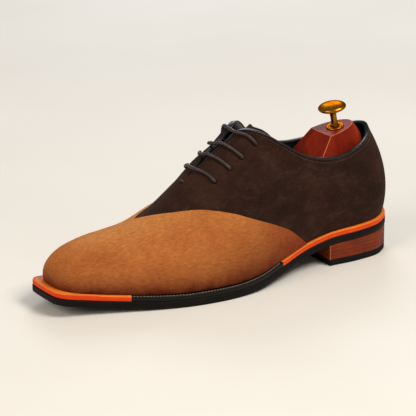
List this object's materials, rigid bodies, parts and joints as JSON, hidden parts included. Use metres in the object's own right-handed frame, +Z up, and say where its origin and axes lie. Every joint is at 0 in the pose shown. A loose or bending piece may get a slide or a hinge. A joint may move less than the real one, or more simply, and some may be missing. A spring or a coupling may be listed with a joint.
{
  "type": "oxford shoe",
  "caption": "Left oxford shoe in tan and dark brown suede with closed lacing, stitched welt and stacked heel, holding a sprung wooden shoe tree.",
  "frame": {"origin": "centre of the bounding box, at the ground", "axes": "+X from the toe to the heel, +Y to the inner side of the foot, +Z up"},
  "size_m": [0.304, 0.1, 0.1204],
  "materials": {
    "suede_tan": "napped suede",
    "suede_dark": "napped suede",
    "leather_black": "waxed edge",
    "leather_orange": "dyed, lightly polished",
    "leather_stack": "stained and waxed",
    "leather_lining": "smooth",
    "leather_insole": "natural",
    "leather_board": "raw board",
    "cork": "granulated cork",
    "rubber_black": "moulded",
    "steel": "plain",
    "eyelet_metal": "plain",
    "brass": "polished",
    "wood_mahogany": "lacquered",
    "cord_brown": "waxed round cord"
  },
  "bodies": {
    "shoe": {"vamp": "suede_tan", "quarters": "suede_dark", "toe_puff": "leather_board", "vamp_interlining": "leather_board", "heel_counter": "leather_board", "facing_stay_outer": "leather_board", "facing_stay_inner": "leather_board", "vamp_lining": "leather_lining", "quarter_lining": "leather_lining", "collar_binding": "leather_lining", "tongue": "suede_dark", "tongue_lining": "leather_lining", "throat_bar_tack": "cord_brown", "eyelet_outer_1": "eyelet_metal", "eyelet_outer_2": "eyelet_metal", "eyelet_outer_3": "eyelet_metal", "eyelet_outer_4": "eyelet_metal", "eyelet_inner_1": "eyelet_metal", "eyelet_inner_2": "eyelet_metal", "eyelet_inner_3": "eyelet_metal", "eyelet_inner_4": "eyelet_metal", "lace": "cord_brown", "aglet_1": "cord_brown", "aglet_2": "cord_brown", "outsole": "leather_black", "welt_toe": "leather_orange", "welt_outer_side": "leather_black", "heel_rand": "leather_orange", "welt_inner_side": "leather_black", "cork_filler": "cork", "insole": "leather_insole", "sock_liner": "leather_lining", "shank": "steel", "top_piece": "rubber_black", "heel_lift_1": "leather_stack", "heel_lift_2": "leather_stack", "heel_lift_3": "leather_stack", "heel_wedge_lift": "leather_stack", "top_piece_nail_1": "brass", "top_piece_nail_2": "brass", "top_piece_nail_3": "brass", "top_piece_nail_4": "brass", "top_piece_nail_5": "brass", "heel_nail_1": "steel", "heel_nail_2": "steel", "heel_nail_3": "steel", "tree_toe_block_inner": "wood_mahogany", "tree_guide_pin_1": "steel", "tree_guide_pin_2": "steel", "tree_toe_spring": "steel", "tree_hinge_bracket": "steel", "tree_hinge_pin": "steel"},
    "tree_toe_outer": {"tree_toe_block_outer": "wood_mahogany"},
    "tree_arm": {"tree_tube": "steel", "tree_rod_spring": "steel"},
    "tree_heel": {"tree_rod": "steel", "tree_heel_block": "wood_mahogany", "tree_knob_ring": "brass", "tree_knob": "brass"}
  },
  "joints": [
    {"name": "tree_lift", "type": "hinge", "parent": "shoe", "child": "tree_arm", "pos_m": [-0.031, 0.00447, 0.047], "axis": [0, -1, 0], "range_deg": [0, 25]},
    {"name": "tree_compress", "type": "slide", "parent": "tree_arm", "child": "tree_heel", "axis": [-0.9945, 0, -0.1045], "range_m": [0, 0.012], "stiffness_N_per_m": 1500, "springref_m": -0.003, "deforming": ["tree_rod_spring"]},
    {"name": "tree_toe_squeeze", "type": "slide", "parent": "shoe", "child": "tree_toe_outer", "axis": [0, 1, 0], "range_m": [0, 0.0024], "stiffness_N_per_m": 2000, "springref_m": -0.002, "deforming": ["tree_toe_spring"]}
  ]
}
